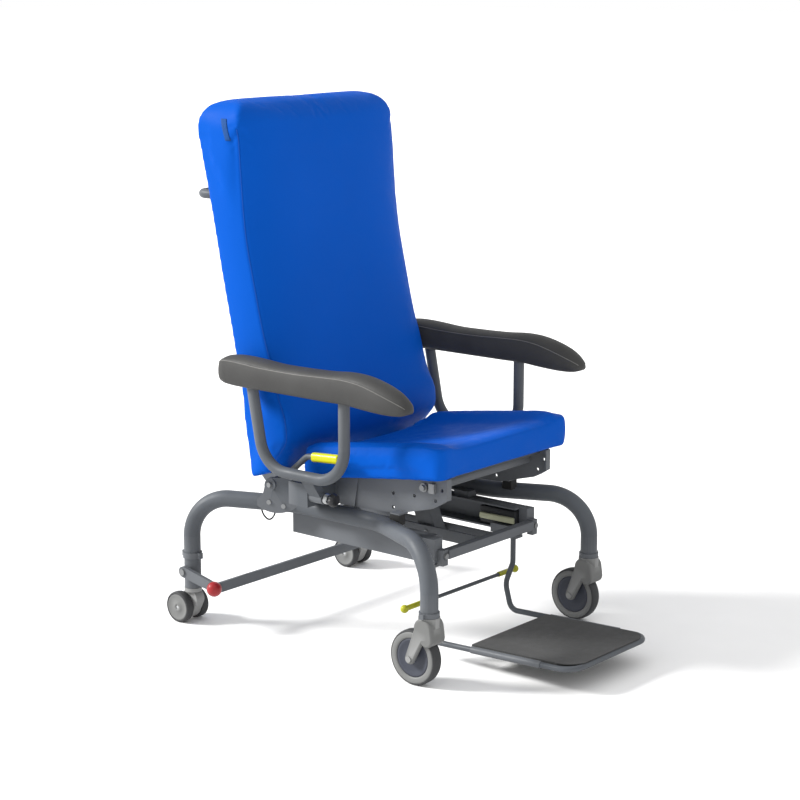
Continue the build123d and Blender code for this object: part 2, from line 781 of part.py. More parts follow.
push_z = 1010.0
push_y = 518.0
push_d = 22.0
push_root = back_rear_y(push_z) + upright_off + back_tube_d / 2 - 3
with BuildPart() as push_bar:
    add(
        bent_bar(
            [(back_tube_x, push_root, push_z), (back_tube_x, push_y, push_z), (-back_tube_x, push_y, push_z),
             (-back_tube_x, push_root, push_z)],
            28,
            push_d,
        )
    )
    add(bent_bar(back_route, [120, 60, 60, 120], back_tube_d + 0.02), mode=Mode.SUBTRACT)
write(push_bar.part, "push_bar")

# ---------------------------------------------------------------- gas spring that holds the back
gas_axis_x = gas_x + 8
cylinder_y0 = gas_eye[0] + 20
cylinder_len = 130.0
rod_d = 10.0
with BuildPart() as gas_cylinder:
    with BuildSketch(Plane.XZ.offset(-cylinder_y0)):
        with Locations((gas_axis_x, gas_eye[1])):
            Circle(10)
    extrude(amount=-cylinder_len)
    with BuildSketch(Plane.XZ.offset(-cylinder_y0 - 6)):
        with Locations((gas_axis_x, gas_eye[1])):
            Circle(rod_d / 2 + running)
    extrude(amount=-cylinder_len, mode=Mode.SUBTRACT)
    with BuildSketch(yz(gas_x + 3.3)):
        with Locations(gas_eye):
            Circle(9)
        with Locations((cylinder_y0 + 1, gas_eye[1])):
            Rectangle(6, 14)
        make_hull()
    extrude(amount=9)
write(gas_cylinder.part, "gas_cylinder")

with BuildPart() as gas_rod:
    with BuildSketch(Plane.XZ.offset(-gas_lever[0] + 9)):
        with Locations((gas_axis_x, gas_lever[1])):
            Circle(rod_d / 2)
    extrude(amount=165)
    with BuildSketch(yz(gas_axis_x - 6)):
        with Locations(gas_lever):
            Circle(12)
            Circle(7.4, mode=Mode.SUBTRACT)
    extrude(amount=12)
write(gas_rod.part, "gas_rod")

# ---------------------------------------------------------------- armrests
arm_block_y = (104.5, 162.0)
handle_x = 272.0
handle_pivot = (180.0, 406.0)
arm_shaft_d = 16.0
barrel_z = arm_pivot_z - 14
with BuildPart() as one_arm_bracket:
    add(block(plate_in_x + plate_t, 264, 108, 186, 345, 378))
    add(block(264, 296, *arm_block_y, 341, 394))
    with BuildSketch(Plane.XZ.offset(-arm_block_y[0])):
        with Locations((arm_pivot_x, barrel_z)):
            Circle(arm_shaft_d / 2)
    extrude(amount=53.5)
    # stiffening plate on the seat's side plate
    with BuildSketch(yz(plate_in_x + plate_t)):
        with BuildLine():
            Polyline((40, seat_z(40, -1)), (52, 332), (198, 332), (212, 346), (212, seat_z(212, -1)), close=True)
        make_face()
    extrude(amount=4)
with BuildPart() as arm_brackets:
    add(side_pair(one_arm_bracket.part))
    # ear and pin of the release handle, on the right bracket
    with BuildSketch(yz(-264)):
        with Locations(handle_pivot):
            Circle(9)
        with Locations((handle_pivot[0] - 5, 377)):
            Rectangle(22, 2)
        make_hull()
    extrude(amount=5)
    add(x_cylinder(handle_pivot[0], handle_pivot[1], 8, -handle_x - 10, -264))
write(arm_brackets.part, "arm_brackets")

arm_post_y = (-26.0, 250.0)
arm_low_z = 421.0
pad_under_z = 603.0
arm_route = [
    (arm_x, arm_post_y[1] + 1.6, pad_under_z + 8),
    (arm_x, 214, arm_low_z - 2),
    (arm_x, arm_post_y[0], arm_low_z - 2),
    (arm_x, arm_post_y[0], pad_under_z + 8),
]
for side, sign in sides:
    with BuildPart() as one_arm:
        add(bent_bar(arm_route, [78, 78], arm_tube_d))
        add(block(arm_x - 20, arm_x + 20, -60, 290, pad_under_z, pad_under_z + 20), mode=Mode.SUBTRACT)
        with BuildSketch(Plane.XZ.offset(-104)):
            with Locations((arm_pivot_x, barrel_z)):
                Circle(14)
        extrude(amount=38)
        with BuildSketch(Plane.XZ.offset(-102)):
            with Locations((arm_pivot_x + 2, barrel_z + 4)):
                Circle(10)
            with Locations((arm_x - 6, arm_low_z - 8)):
                Circle(9)
            make_hull()
        extrude(amount=34)
        with BuildSketch(Plane.XZ.offset(-140)):
            with Locations((arm_pivot_x, barrel_z)):
                Circle(arm_shaft_d / 2 + running)
        extrude(amount=100, mode=Mode.SUBTRACT)
    with BuildPart() as armrest_tube:
        add(on_side(one_arm.part, sign))
    write(armrest_tube.part, f"armrest_tube_{side}")

    with BuildPart() as one_pad:
        with BuildSketch(yz(arm_x - 33)):
            with BuildLine():
                Spline((336, 618), (345, 648), (318, 668), (250, 673), (60, 668), (-70, 674), (-150, 659),
                       (-205, 630), (-217, 611))
                Spline((-217, 611), (-207, 599), (-150, 597), (-46, pad_under_z))
                Line((-46, pad_under_z), (270, pad_under_z))
                Spline((270, pad_under_z), (310, 607), (336, 618))
            make_face()
        extrude(amount=66)
    with BuildPart() as armrest_pad:
        add(on_side(one_pad.part, sign))
    write(armrest_pad.part, f"armrest_pad_{side}")

    # locking knob on the end of the pivot shaft
    with BuildPart() as one_knob:
        with BuildSketch(Plane.XZ.offset(-50)):
            with Locations((arm_pivot_x, barrel_z)):
                Circle(6)
        extrude(amount=4)
        with BuildSketch(Plane.XZ.offset(-46)):
            with Locations((arm_pivot_x, barrel_z)):
                Circle(16)
        extrude(amount=14)
        fillet(one_knob.edges().filter_by(GeomType.CIRCLE).group_by(Axis.Y)[0], 4)
    with BuildPart() as lock_knob:
        add(on_side(one_knob.part, sign))
    write(lock_knob.part, f"lock_knob_{side}")

# ---------------------------------------------------------------- release handle on the right side
with BuildPart() as handle_drawn:
    add(
        bent_bar(
            [
                (handle_x, handle_pivot[0] - 6, handle_pivot[1] + 5.1),
                (handle_x, 126, 452),
                (handle_x, 106, 453.5),
            ],
            26,
            14,
        )
    )
    add(x_cylinder(handle_pivot[0], handle_pivot[1], 20, handle_x - 7, handle_x + 7))
    with BuildSketch(yz(handle_x - 12)):
        with Locations(handle_pivot):
            Circle(4 + running)
    extrude(amount=30, mode=Mode.SUBTRACT)
with BuildPart() as release_handle:
    add(mirror(handle_drawn.part, Plane.YZ))
write(release_handle.part, "release_handle")

grip_plane = Plane(origin=(-handle_x, 106, 453.5), x_dir=(1, 0, 0), z_dir=(0, -20, 1.5))
with BuildPart() as handle_grip:
    with BuildSketch(grip_plane):
        RectangleRounded(19, 21, 8)
    extrude(amount=78)
    fillet(handle_grip.edges().group_by(Axis.Y)[0], 4)
write(handle_grip.part, "handle_grip")

# ---------------------------------------------------------------- sliding footrest
slope = math.tan(math.radians(foot_slope))
foot_rear_z = 46.0


def foot_z(y):
    """Height of the foot frame's centreline under the plate."""
    return foot_rear_z + (foot_rear_y - y) * slope


foot_route = [
    (foot_x, -140, 221),
    (foot_x, -140, 158),
    (foot_x, -119, 104),
    (foot_x, -136, foot_z(-136)),
    (foot_x, foot_front_y, foot_z(foot_front_y)),
    (-foot_x, foot_front_y, foot_z(foot_front_y)),
    (-foot_x, -136, foot_z(-136)),
    (-foot_x, -119, 104),
    (-foot_x, -140, 158),
    (-foot_x, -140, 221),
]
with BuildPart() as foot_frame:
    add(bent_bar(foot_route, [34, 44, 24, 42, 42, 24, 44, 34], foot_tube_d, 2.0))
write(foot_frame.part, "foot_frame")

plate_plane = Plane(
    origin=(0, foot_rear_y, foot_z(foot_rear_y)), x_dir=(1, 0, 0), z_dir=(0, slope, 1)
)
plate_half = foot_x - 8.4
plate_len = (foot_rear_y - foot_front_y) - foot_tube_d / 2 - 1
mat_len = (foot_rear_y - foot_front_y) + 3
with BuildPart() as footplate:
    with BuildSketch(plate_plane.offset(-3)):
        with Locations((0, -plate_len / 2)):
            Rectangle(2 * plate_half, plate_len)
    extrude(amount=9.8)
    fillet(footplate.edges().filter_by(Axis.Z, tolerance=5).group_by(Axis.Y)[0], 40)
    # the mat on top reaches over the front of the frame
    with BuildSketch(plate_plane.offset(6.8)):
        with BuildLine():
            FilletPolyline(
                (-plate_half, 0), (-plate_half, -mat_len), (plate_half, -mat_len), (plate_half, 0), radius=46
            )
            Line((plate_half, 0), (-plate_half, 0))
        make_face()
    extrude(amount=2.5)
write(footplate.part, "footplate")

# sleeves round the frame that hold the edges of the plate
clasp_len = 190.0
with BuildPart() as one_clasp:
    with BuildSketch(Plane(origin=(foot_x, foot_rear_y - 6, foot_z(foot_rear_y - 6)), z_dir=(0, -1, slope))):
        Circle(8)
        Circle(foot_tube_d / 2, mode=Mode.SUBTRACT)
    extrude(amount=clasp_len)
with BuildPart() as plate_clasps:
    add(side_pair(one_clasp.part))
write(plate_clasps.part, "plate_clasps")

# slide blocks in the rails, each with a nose along its inner face, and hangers from them down to the foot frame
with BuildPart() as slide_blocks:
    add(side_pair(block(rail_in_x + 3, rail_out_x - rail_wall - 0.5, -147, -44, 243, 284)))
    add(side_pair(block(rail_in_x - 2, rail_in_x + 3, -147, -46, 254, 268)))
write(slide_blocks.part, "slide_blocks")
with BuildPart() as one_hanger:
    add(block(rail_in_x - 8, rail_in_x - 4, -160, -84, 227.5, 249))
    add(block(rail_in_x - 4, rail_in_x + 3, -146, -96, 244, 249))
    add(block(rail_in_x - 8, rail_in_x + 20, -158, -118, 221, 227.5))
# ---------------------------------------------------------------- yellow pedal under the footrest slide
pedal_y = -104.0
pedal_z = 124.0
pedal_half = 199.0
pedal_pivot = (-94.0, 178.0)
pedal_x = -126.0
with BuildPart() as slide_hangers:
    add(side_pair(one_hanger.part))
    # the right hanger also carries the lug that the pedal turns on
    with BuildSketch(yz(pedal_x - 6)):
        with Locations(pedal_pivot):
            Circle(9)
        with Locations((-96, 239)):
            Circle(9)
        make_hull()
    extrude(amount=4)
    add(block(-rail_in_x + 8, pedal_x - 6, -104, -88, 232, 246))
    add(x_cylinder(pedal_pivot[0], pedal_pivot[1], 8, pedal_x - 2, pedal_x + 12))
write(slide_hangers.part, "slide_hangers")

with BuildPart() as pedal_bar:
    add(x_cylinder(pedal_y, pedal_z, 9, -pedal_half, pedal_half))
    with BuildSketch(yz(pedal_x - 1.5)):
        with Locations(pedal_pivot):
            Circle(10)
        with Locations((pedal_y, pedal_z)):
            Circle(8)
        make_hull()
        with Locations(pedal_pivot):
            Circle(4 + running, mode=Mode.SUBTRACT)
    extrude(amount=6)
write(pedal_bar.part, "pedal_bar")

with BuildPart() as one_pedal_knob:
    add(x_cylinder(pedal_y, pedal_z, 12.4, pedal_half - 58, pedal_half + 4))
    with Locations((pedal_half + 6.5, pedal_y, pedal_z)):
        Sphere(9.5)
    add(x_cylinder(pedal_y, pedal_z, 9, pedal_half - 60, pedal_half), mode=Mode.SUBTRACT)
with BuildPart() as pedal_knobs:
    add(side_pair(one_pedal_knob.part))
write(pedal_knobs.part, "pedal_knobs")

# ---------------------------------------------------------------- sewn tag on the back cushion's side
with BuildPart() as back_tag:
    add(block(-back_width / 2 - 1.2, -back_width / 2 - 0.3, 352, 372, 1146, 1196))
write(back_tag.part, "back_tag")
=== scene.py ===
"""Looks of the patient recliner chair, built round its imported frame.  Metres, in the frame's own axes."""
import json
import math

import bmesh
import bpy
import numpy as np
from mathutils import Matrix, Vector
from mathutils.bvhtree import BVHTree


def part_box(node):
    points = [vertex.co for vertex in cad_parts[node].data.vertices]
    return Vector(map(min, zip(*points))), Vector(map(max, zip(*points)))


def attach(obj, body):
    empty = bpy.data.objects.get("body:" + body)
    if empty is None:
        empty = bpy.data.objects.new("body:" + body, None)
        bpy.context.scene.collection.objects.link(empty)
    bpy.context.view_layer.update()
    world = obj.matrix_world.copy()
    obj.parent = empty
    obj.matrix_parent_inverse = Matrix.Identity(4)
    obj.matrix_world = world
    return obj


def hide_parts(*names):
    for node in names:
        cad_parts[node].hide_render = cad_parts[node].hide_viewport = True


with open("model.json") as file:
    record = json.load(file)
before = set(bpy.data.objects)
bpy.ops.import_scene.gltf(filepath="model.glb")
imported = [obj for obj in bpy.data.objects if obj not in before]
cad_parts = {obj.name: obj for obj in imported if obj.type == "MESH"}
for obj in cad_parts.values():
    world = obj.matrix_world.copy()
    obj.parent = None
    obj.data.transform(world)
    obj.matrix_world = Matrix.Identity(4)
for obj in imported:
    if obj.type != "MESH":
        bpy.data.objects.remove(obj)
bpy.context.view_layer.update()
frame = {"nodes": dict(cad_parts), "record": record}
nodes = frame["nodes"]


# ---------------------------------------------------------------- camera, light and floor
def aimed(location, target):
    """Rotation that looks from location to target."""
    return (Vector(target) - Vector(location)).to_track_quat("-Z", "Y").to_euler()


cam_data = bpy.data.cameras.new("camera")
cam_data.lens = 91.84
cam_data.sensor_width = 36.0
camera = bpy.data.objects.new("camera", cam_data)
bpy.context.collection.objects.link(camera)
camera.location = (-3.5655, -2.9017, 1.5284)
camera.rotation_euler = (math.radians(90 - 11.96), 0, math.radians(-50.085))
bpy.context.scene.camera = camera
bpy.context.scene.view_settings.view_transform = "Standard"

world = bpy.data.worlds.new("studio")
world.use_nodes = True
world.node_tree.nodes["Background"].inputs["Color"].default_value = (1.0, 1.0, 1.0, 1.0)
world.node_tree.nodes["Background"].inputs["Strength"].default_value = 1.0
bpy.context.scene.world = world

sun_data = bpy.data.lights.new("key", "SUN")
sun_data.energy = 5.4
sun_data.angle = math.radians(14)
sun_data.color = (1.0, 0.995, 0.98)
sun = bpy.data.objects.new("key", sun_data)
bpy.context.collection.objects.link(sun)
sun.location = (-2.9, 4.0, 3.0)
sun.rotation_euler = aimed(sun.location, (0, 0, 0))


# ---------------------------------------------------------------- materials
def colour_mix(tree, factor, low, high):
    """A mix of two colours, low where the factor is 0."""
    node = tree.nodes.new("ShaderNodeMix")
    node.data_type = "RGBA"
    tree.links.new(factor, node.inputs["Factor"])
    for socket, value in ((node.inputs["A"], low), (node.inputs["B"], high)):
        if isinstance(value, tuple):
            socket.default_value = (*value, 1.0)
        else:
            tree.links.new(value, socket)
    return node.outputs["Result"]


def ramp(tree, source, low, high, out_low=0.0, out_high=1.0):
    """The source's range low to high stretched over out_low to out_high."""
    node = tree.nodes.new("ShaderNodeMapRange")
    node.inputs["From Min"].default_value = low
    node.inputs["From Max"].default_value = high
    node.inputs["To Min"].default_value = out_low
    node.inputs["To Max"].default_value = out_high
    tree.links.new(source, node.inputs["Value"])
    return node.outputs["Result"]


def noise(tree, place, scale, detail=3.0, rough=0.55):
    """Noise texture at a number of features per metre."""
    node = tree.nodes.new("ShaderNodeTexNoise")
    node.inputs["Scale"].default_value = scale
    node.inputs["Detail"].default_value = detail
    node.inputs["Roughness"].default_value = rough
    tree.links.new(place, node.inputs["Vector"])
    return node.outputs["Fac"]


def cells(tree, place, scale):
    """Distance to the nearest cell centre of a pebbled grain."""
    node = tree.nodes.new("ShaderNodeTexVoronoi")
    node.inputs["Scale"].default_value = scale
    node.inputs["Randomness"].default_value = 0.9
    tree.links.new(place, node.inputs["Vector"])
    return node.outputs["Distance"]


def finish_of(
    name, colour, roughness, metallic=0.0, spread=0.14, patch=7.0, grain=700.0, depth=0.00012,
    pebble=False, edge_highlight=0.0, highlight_colour=None, sheen=0.0, coat=0.0, specular=0.2, scuff=0.06,
):
    """A procedural finish: patches of slightly uneven colour, a fine raised grain and paler edges that are a
    painted edge highlight.
    """
    material = bpy.data.materials.new(name)
    material.use_nodes = True
    tree = material.node_tree
    shader = tree.nodes["Principled BSDF"]
    shader.inputs["Metallic"].default_value = metallic
    shader.inputs["Specular IOR Level"].default_value = specular
    shader.inputs["Sheen Weight"].default_value = sheen
    shader.inputs["Coat Weight"].default_value = coat
    shader.inputs["Coat Roughness"].default_value = 0.15
    place = tree.nodes.new("ShaderNodeTexCoord").outputs["Object"]
    blotch = noise(tree, place, patch)
    fine = noise(tree, place, patch * 45, 2.0)
    dark = tuple(c * (1 - spread) for c in colour)
    light = tuple(min(1.0, c * (1 + spread)) for c in colour)
    base = colour_mix(tree, ramp(tree, blotch, 0.3, 0.7), dark, light)
    speck = ramp(tree, fine, 0.62, 0.75, 0.0, scuff)
    base = colour_mix(tree, speck, base, tuple(min(1.0, c * 1.5 + 0.02) for c in colour))
    # Edges found by pointiness are mixed towards a paler colour: a painted edge highlight.
    if edge_highlight:
        edge = tree.nodes.new("ShaderNodeNewGeometry").outputs["Pointiness"]
        base = colour_mix(tree, ramp(tree, edge, 0.53, 0.60, 0.0, edge_highlight), base, highlight_colour or light)
    tree.links.new(base, shader.inputs["Base Color"])
    rough = ramp(tree, noise(tree, place, patch * 8), 0.3, 0.7, roughness - 0.06, roughness + 0.07)
    tree.links.new(rough, shader.inputs["Roughness"])
    relief = cells(tree, place, grain) if pebble else noise(tree, place, grain, 2.0)
    bump = tree.nodes.new("ShaderNodeBump")
    bump.inputs["Strength"].default_value = 0.6
    bump.inputs["Distance"].default_value = depth
    tree.links.new(relief, bump.inputs["Height"])
    tree.links.new(bump.outputs["Normal"], shader.inputs["Normal"])
    return material


blue = (0.0012, 0.068, 0.385)
# The edge amount and edge colour given to some finishes below set their painted edge highlight.
looks = {
    "frame_paint": finish_of("frame_paint", (0.072, 0.079, 0.089), 0.50, edge_highlight=0.30,
                             highlight_colour=(0.16, 0.165, 0.175)),
    "castor_plastic": finish_of("castor_plastic", (0.138, 0.140, 0.138), 0.50, grain=500, edge_highlight=0.25,
                                highlight_colour=(0.5, 0.5, 0.5)),
    # The tyre finish is darker than the side ring as painted shade: the tread is the same tyre and only faces
    # away from the lamp.
    "tyre": finish_of("tyre", (0.042, 0.043, 0.045), 0.65, grain=900, depth=0.0002, scuff=0.25),
    "rim_plastic": finish_of("rim_plastic", (0.150, 0.152, 0.150), 0.45, grain=500),
    "hub_plastic": finish_of("hub_plastic", (0.042, 0.046, 0.060), 0.45, grain=600, edge_highlight=0.2,
                             highlight_colour=(0.1, 0.1, 0.12)),
    "blue_vinyl": finish_of("blue_vinyl", blue, 0.52, spread=0.035, patch=3.5, grain=950, depth=0.00018,
                            pebble=True, scuff=0.02, specular=0.03),
    "blue_thread": finish_of("blue_thread", (0.0022, 0.055, 0.31), 0.7, grain=2500, depth=0.0002, scuff=0.2),
    "arm_pad": finish_of("arm_pad", (0.040, 0.0397, 0.039), 0.55, spread=0.10, patch=14, grain=800,
                         depth=0.0003, pebble=True, scuff=0.22),
    # The bead finish is a lighter grey with heavy light specks: a painted highlight along the arm pads'
    # creases.
    "bead_highlight": finish_of("bead_highlight", (0.125, 0.123, 0.117), 0.5, grain=1500, depth=0.0003, scuff=0.6),
    "plate_rubber": finish_of("plate_rubber", (0.021, 0.0215, 0.0218), 0.65, grain=420, depth=0.0004,
                              pebble=True, scuff=0.15, edge_highlight=0.3, highlight_colour=(0.16, 0.16, 0.16), specular=0.08),
    "yellow_plastic": finish_of("yellow_plastic", (0.50, 0.49, 0.006), 0.38, spread=0.04, grain=600,
                                coat=0.15),
    "pedal_yellow": finish_of("pedal_yellow", (0.33, 0.33, 0.018), 0.42, spread=0.08, grain=600, coat=0.1),
    "red_plastic": finish_of("red_plastic", (0.25, 0.009, 0.012), 0.34, spread=0.06, grain=500, coat=0.3),
    "black_plastic": finish_of("black_plastic", (0.022, 0.022, 0.024), 0.42, grain=600, edge_highlight=0.3,
                               highlight_colour=(0.1, 0.1, 0.1)),
    "zinc_steel": finish_of("zinc_steel", (0.50, 0.51, 0.52), 0.32, 0.9, grain=1500, depth=0.00005),
    "dull_zinc": finish_of("dull_zinc", (0.20, 0.205, 0.21), 0.45, 0.5, grain=1500, depth=0.00005),
    "dark_plastic": finish_of("dark_plastic", (0.020, 0.021, 0.023), 0.5, grain=600),
    "chrome": finish_of("chrome", (0.75, 0.75, 0.77), 0.12, 1.0, spread=0.03, grain=1500, depth=0.00002),
    "cream_plastic": finish_of("cream_plastic", (0.36, 0.365, 0.25), 0.5, grain=500, scuff=0.15),
    "black_rubber": finish_of("black_rubber", (0.02, 0.02, 0.02), 0.7, grain=900, depth=0.0002, scuff=0.3),
    "cable_black": finish_of("cable_black", (0.016, 0.016, 0.018), 0.45, grain=1500, depth=0.0001),
    "board_grey": finish_of("board_grey", (0.055, 0.058, 0.062), 0.55, grain=380, depth=0.0003, pebble=True,
                            scuff=0.12),
    "tag_fabric": finish_of("tag_fabric", (0.008, 0.055, 0.20), 0.8, grain=1400, depth=0.0003, scuff=0.3),
}
slot_of = {s["node"]: s["material_slot"] for s in frame["record"]["subparts"]}
special = {
    "pedal_knobs": "pedal_yellow", "base_pins": "dull_zinc", "front_axle_left": "castor_plastic",
    "front_axle_right": "castor_plastic", "seat_fasteners": "dull_zinc",
}
for node_name, node_object in nodes.items():
    look = looks[slot_of[node_name]]
    if node_name in special:
        look = looks[special[node_name]]
    for held in node_object.material_slots:
        held.material = look

floor_mesh = bpy.data.meshes.new("floor")
reach = 60
floor_corners = [(-reach, -reach, 0), (reach, -reach, 0), (reach, reach, 0), (-reach, reach, 0)]
floor_mesh.from_pydata(floor_corners, [], [(0, 1, 2, 3)])
floor = bpy.data.objects.new("floor", floor_mesh)
bpy.context.collection.objects.link(floor)
floor.data.materials.append(
    finish_of("floor_vinyl", (0.88, 0.88, 0.88), 0.6, spread=0.01, grain=60, depth=0.0001, scuff=0.0,
              specular=0.0)
)


# ---------------------------------------------------------------- mesh helpers
def piece(name, vertices, faces, look, body, slot):
    """A smooth-shaded mesh that rides on a body."""
    mesh = bpy.data.meshes.new(name)
    mesh.from_pydata([tuple(v) for v in vertices], [], faces)
    mesh.materials.append(looks[look])
    made = bpy.data.objects.new(name, mesh)
    bpy.context.collection.objects.link(made)
    finish_normals(made)
    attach(made, body)
    return made


def finish_normals(made):
    """Faces outwards, shaded smooth."""
    work = bmesh.new()
    work.from_mesh(made.data)
    bmesh.ops.recalc_face_normals(work, faces=work.faces)
    work.to_mesh(made.data)
    work.free()
    for polygon in made.data.polygons:
        polygon.use_smooth = True


def loft(rings):
    """Vertices and faces of a closed skin over rings of equal count, with a fan in each end."""
    count = len(rings[0])
    vertices = [p for ring in rings for p in ring]
    faces = []
    for i in range(len(rings) - 1):
        for j in range(count):
            k = (j + 1) % count
            faces.append((i * count + j, i * count + k, (i + 1) * count + k, (i + 1) * count + j))
    for ring, start in ((rings[0], 0), (rings[-1], (len(rings) - 1) * count)):
        vertices.append(np.mean(np.array(ring, float), axis=0))
        tip = len(vertices) - 1
        for j in range(count):
            faces.append((start + j, start + (j + 1) % count, tip))
    return vertices, faces


def lathe_x(name, centre, profile, look, body, slot, segments=64):
    """A turned form about an axis along X; the profile is a closed loop of (x from centre, radius)."""
    vertices, faces = [], []
    for i in range(segments):
        a = 2 * math.pi * i / segments
        for x, r in profile:
            vertices.append((centre[0] + x, centre[1] + r * math.cos(a), centre[2] + r * math.sin(a)))
    n = len(profile)
    for i in range(segments):
        for j in range(n):
            k = (j + 1) % n
            ii = (i + 1) % segments
            faces.append((i * n + j, i * n + k, ii * n + k, ii * n + j))
    return piece(name, vertices, faces, look, body, slot)


def interpolate(table, t):
    """Smooth values of a table of (t, values...) at t."""
    table = np.array(table, float)
    return np.array([catmull(table[:, 0], table[:, c], t) for c in range(1, table.shape[1])])


def catmull(xs, ys, x):
    """Cubic interpolation with slopes taken from the neighbours."""
    slopes = np.gradient(ys, xs)
    i = int(np.clip(np.searchsorted(xs, x) - 1, 0, len(xs) - 2))
    h = xs[i + 1] - xs[i]
    s = min(max((x - xs[i]) / h, 0.0), 1.0)
    return (
        (2 * s**3 - 3 * s**2 + 1) * ys[i] + (s**3 - 2 * s**2 + s) * h * slopes[i]
        + (3 * s**2 - 2 * s**3) * ys[i + 1] + (s**3 - s**2) * h * slopes[i + 1]
    )


def smoothstep(x):
    """0 to 1 with flat ends."""
    x = min(max(x, 0.0), 1.0)
    return x * x * (3 - 2 * x)


def apply_modifiers(made):
    """The mesh with its modifiers applied."""
    graph = bpy.context.evaluated_depsgraph_get()
    shape = bpy.data.meshes.new_from_object(made.evaluated_get(graph))
    made.modifiers.clear()
    made.data = shape


cloth_frames = 20


def stuff(made, voxel, rounds, cap, pressure=4.0):
    """Turns a rough form into a stuffed one: even mesh, rounded edges, cloth skin pushed out by up to cap."""
    remesh = made.modifiers.new("remesh", "REMESH")
    remesh.mode = "VOXEL"
    remesh.voxel_size = voxel
    smooth = made.modifiers.new("smooth", "SMOOTH")
    smooth.factor = 0.5
    smooth.iterations = rounds
    apply_modifiers(made)
    rest = np.array([v.co for v in made.data.vertices], float)
    cloth = made.modifiers.new("cloth", "CLOTH")
    cloth.settings.use_pressure = True
    cloth.settings.uniform_pressure_force = pressure
    cloth.settings.effector_weights.gravity = 0
    cloth.settings.quality = 5
    cloth.point_cache.frame_start = 1
    cloth.point_cache.frame_end = cloth_frames
    scene = bpy.context.scene
    for f in range(1, cloth_frames + 1):
        scene.frame_set(f)
    apply_modifiers(made)
    now = np.array([v.co for v in made.data.vertices], float)
    move = now - rest
    length = np.linalg.norm(move, axis=1)
    move *= np.where(length > cap, cap / np.maximum(length, 1e-9), 1.0)[:, None]
    made.data.vertices.foreach_set("co", (rest + move).ravel())
    scene.frame_set(1)
    refine = made.modifiers.new("refine", "SUBSURF")
    refine.levels = 1
    refine.render_levels = 1
    apply_modifiers(made)
    for polygon in made.data.polygons:
        polygon.use_smooth = True


def skin_tree(made):
    """Search tree of a piece's surface."""
    graph = bpy.context.evaluated_depsgraph_get()
    return BVHTree.FromObject(made, graph)


def sew(made, route, depth, width):
    """Presses a groove into the piece along a route snapped to its surface, and returns the snapped route."""
    tree = skin_tree(made)
    snapped = np.array([tree.find_nearest(Vector(p))[0] for p in route], float)
    count = len(made.data.vertices)
    co = np.zeros(count * 3)
    made.data.vertices.foreach_get("co", co)
    co = co.reshape(-1, 3)
    normal = np.zeros(count * 3)
    made.data.vertex_normals.foreach_get("vector", normal)
    normal = normal.reshape(-1, 3)
    near = np.full(count, np.inf)
    for p, q in zip(snapped[:-1], snapped[1:]):
        box = np.all((co > np.minimum(p, q) - width) & (co < np.maximum(p, q) + width), axis=1)
        if not box.any():
            continue
        pts = co[box]
        d = q - p
        s = np.clip(((pts - p) @ d) / max(d @ d, 1e-12), 0, 1)
        near[box] = np.minimum(near[box], np.linalg.norm(pts - (p + s[:, None] * d), axis=1))
    fall = np.clip(1 - (near / width) ** 2, 0, 1) ** 2
    co = co - normal * (fall * depth)[:, None]
    made.data.vertices.foreach_set("co", co.ravel())
    made.data.update()
    return snapped


def tube_mesh(points, radius, sides=8):
    """Vertices and faces of a thin tube along points, closed at both ends."""
    points = [Vector(p) for p in points]
    rings = []
    side = None
    for i, p in enumerate(points):
        along = (points[min(i + 1, len(points) - 1)] - points[max(i - 1, 0)]).normalized()
        if side is None:
            side = along.orthogonal().normalized()
        side = (side - along * side.dot(along)).normalized()
        up = along.cross(side)
        rings.append([p + (side * math.cos(a) + up * math.sin(a)) * radius
                      for a in (2 * math.pi * k / sides for k in range(sides))])
    return loft(rings)


# ---------------------------------------------------------------- back cushion
mm = 0.001
# height step, rear edge y and z, front edge y and z, crown of the front
back_levels = [
    (0.00, 312, 369, 252, 392, 2), (0.04, 317, 400, 220, 430, 4), (0.09, 322, 442, 192, 470, 8),
    (0.15, 330, 505, 193, 520, 11), (0.22, 337, 575, 214, 572, 15), (0.32, 354, 654, 239, 655, 18),
    (0.40, 366, 712, 256, 704, 21), (0.52, 390, 818, 283, 812, 25), (0.66, 414, 935, 308, 925, 28),
    (0.78, 437, 1040, 318, 1010, 29), (0.88, 454, 1112, 324, 1095, 27), (0.95, 464, 1165, 331, 1165, 23),
    (0.975, 464, 1194, 338, 1203, 17), (0.988, 455, 1216, 350, 1224, 9), (0.996, 440, 1230, 368, 1235, 4),
    (1.0, 418, 1237, 394, 1239, 0),
]
half_back = 270.0
back_corner = 60.0
back_top = 1238.0
back_side_crown = 5.0


def back_half_width(z):
    """Half the back's width at height z, with its rounded top corners and a slight taper at the foot."""
    over = z - (back_top - back_corner)
    taper = 2.0 * smoothstep((520 - z) / 120)
    if over <= 0:
        return half_back - taper
    return half_back - back_corner + math.sqrt(max(back_corner**2 - over**2, 0.0))


def back_point(t, u, v):
    """A point of the back: u across from -1 to 1, v from the front 0 to the rear 1."""
    ry, rz, fy, fz, crown = interpolate(back_levels, t)
    y, z = fy + (ry - fy) * v, fz + (rz - fz) * v
    bulge = crown * (1 - abs(u) ** 5) * (1 - v) ** 2
    side_bulge = back_side_crown * 4 * v * (1 - v) * (1 - smoothstep((t - 0.85) / 0.1))
    x = u * (back_half_width(z) + side_bulge)
    return (x * mm, (y - bulge) * mm, z * mm)


def ring_uv(across, through):
    """The perimeter of a section as (u, v) pairs."""
    loop = [(-1 + 2 * i / across, 0.0) for i in range(across)]
    loop += [(1.0, i / through) for i in range(through)]
    loop += [(1 - 2 * i / across, 1.0) for i in range(across)]
    loop += [(-1.0, 1 - i / through) for i in range(through)]
    return loop


